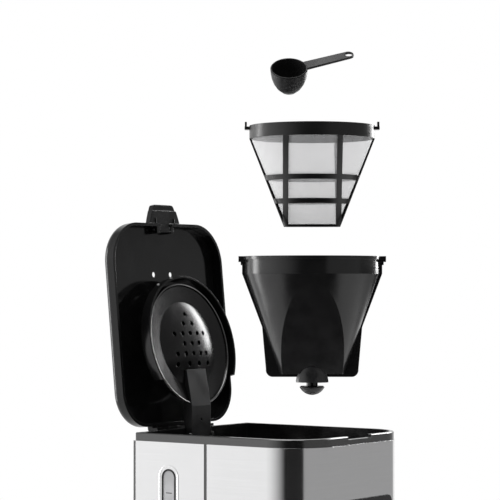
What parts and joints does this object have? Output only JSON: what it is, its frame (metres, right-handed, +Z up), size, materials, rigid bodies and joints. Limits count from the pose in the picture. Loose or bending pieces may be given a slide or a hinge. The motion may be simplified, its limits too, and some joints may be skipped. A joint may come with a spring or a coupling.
{
  "type": "drip coffee maker",
  "caption": "Upright filter coffee machine with steel panels, open lid with spray head, lift-out funnel and mesh filter, scoop, and glass carafe on a hotplate.",
  "frame": {"origin": "middle of the body's footprint, on the counter under the feet", "axes": "+Z up, -Y towards the front with the control panel, +X to the right of someone facing the rear"},
  "size_m": [0.3005, 0.3555, 0.6969],
  "materials": {
    "steel": "fine vertical brushing",
    "black_satin": "satin moulded",
    "black_gloss": "glossy moulded",
    "funnel_black": "semi-gloss moulded",
    "filter_black": "satin moulded",
    "mesh": "fine woven",
    "scoop_black": "satin moulded",
    "rubber": "matt",
    "fastener": "plated",
    "plate_coat": "non-stick coating",
    "heater_metal": "extruded",
    "thermostat": "pressed",
    "tank": "milky translucent",
    "silicone": "milky silicone",
    "window": "grey translucent",
    "panel": "glossy",
    "display": "smoked",
    "display_body": "moulded",
    "board": "solder mask",
    "button": "satin",
    "carafe_glass": "clear",
    "carafe_black": "glossy moulded"
  },
  "bodies": {
    "machine": {"front_wrap": "steel", "left_rear_panel": "steel", "right_rear_panel": "steel", "top_rim": "black_satin", "brew_chamber": "black_satin", "head_floor": "black_satin", "bay_wall": "black_satin", "base_housing": "black_satin", "base_cover": "black_satin", "rear_cover": "black_satin", "seam_strips": "black_satin", "window_frame": "black_satin", "cord_gland": "black_satin", "rubber_feet": "rubber", "hotplate_seal": "rubber", "base_screws": "fastener", "lid_hinge_pin": "fastener", "spray_pin": "fastener", "hose_clips": "fastener", "hotplate": "plate_coat", "heating_element": "heater_metal", "heater_bracket": "heater_metal", "thermostats": "thermostat", "water_tank": "tank", "check_valve": "tank", "cold_water_tube": "silicone", "hot_riser_tube": "silicone", "water_window": "window", "control_panel": "panel", "display_window": "display", "display_module": "display_body", "control_board": "board"},
    "lid": {"lid_shell": "black_gloss", "lid_liner": "black_gloss", "latch_pin": "fastener"},
    "latch": {"lid_latch": "black_gloss"},
    "spray_head": {"spray_dish": "black_gloss", "spray_plate": "black_gloss", "spray_arm": "black_gloss", "spray_collar": "black_gloss"},
    "scoop": {"scoop": "scoop_black"},
    "funnel": {"filter_funnel": "funnel_black"},
    "drip_stop": {"drip_valve": "funnel_black", "valve_seal": "rubber"},
    "filter": {"filter_frame": "filter_black", "filter_mesh": "mesh"},
    "carafe": {"carafe_glass": "carafe_glass", "carafe_band": "carafe_black", "carafe_handle": "carafe_black"},
    "carafe_lid": {"carafe_lid": "carafe_black"},
    "hour_button_key": {"hour_button": "button"},
    "minute_button_key": {"minute_button": "button"},
    "program_button_key": {"program_button": "button"},
    "strength_button_key": {"strength_button": "button"},
    "power_button_key": {"power_button": "button"}
  },
  "joints": [
    {"name": "lid_hinge", "type": "hinge", "parent": "machine", "child": "lid", "pos_m": [0, 0.11, 0.335], "axis": [-1, 0, 0], "range_deg": [-95.5, 0]},
    {"name": "spray_hinge", "type": "hinge", "parent": "machine", "child": "spray_head", "pos_m": [0, 0.095, 0.332], "axis": [-1, 0, 0], "range_deg": [-102.6, 0]},
    {"name": "latch_pivot", "type": "hinge", "parent": "lid", "child": "latch", "pos_m": [0, 0.14212, 0.54338], "axis": [-1, 0, 0], "range_deg": [0, 6], "stiffness_Nm_per_rad": 0.15},
    {"name": "stack_slide", "type": "slide", "parent": "machine", "child": "scoop", "axis": [-0.7056, -0.7086, 0], "range_m": [-0.20407, 0]},
    {"name": "funnel_lift", "type": "slide", "parent": "scoop", "child": "funnel", "axis": [0, 0, 1], "range_m": [-0.202, 0]},
    {"name": "filter_lift", "type": "slide", "parent": "funnel", "child": "filter", "axis": [0, 0, 1], "range_m": [-0.1145, 0]},
    {"name": "drip_valve_slide", "type": "slide", "parent": "funnel", "child": "drip_stop", "axis": [0, 0, 1], "range_m": [0, 0.003], "stiffness_N_per_m": 300},
    {"name": "carafe_slide", "type": "slide", "parent": "machine", "child": "carafe", "axis": [0, -1, 0], "range_m": [0, 0.22]},
    {"name": "carafe_lid_turn", "type": "hinge", "parent": "carafe", "child": "carafe_lid", "pos_m": [0, 0.0015, 0.17], "axis": [0, 0, 1], "range_deg": [0, 45]},
    {"name": "hour_button_press", "type": "slide", "parent": "machine", "child": "hour_button_key", "axis": [0, 1, 0], "range_m": [0, 0.0012], "stiffness_N_per_m": 800},
    {"name": "minute_button_press", "type": "slide", "parent": "machine", "child": "minute_button_key", "axis": [0, 1, 0], "range_m": [0, 0.0012], "stiffness_N_per_m": 800},
    {"name": "program_button_press", "type": "slide", "parent": "machine", "child": "program_button_key", "axis": [0, 1, 0], "range_m": [0, 0.0012], "stiffness_N_per_m": 800},
    {"name": "strength_button_press", "type": "slide", "parent": "machine", "child": "strength_button_key", "axis": [0, 1, 0], "range_m": [0, 0.0012], "stiffness_N_per_m": 800},
    {"name": "power_button_press", "type": "slide", "parent": "machine", "child": "power_button_key", "axis": [0, 1, 0], "range_m": [0, 0.0012], "stiffness_N_per_m": 800}
  ],
  "couplings": [
    {"joint": "spray_hinge", "follows": "lid_hinge", "ratio": 1.0743}
  ]
}
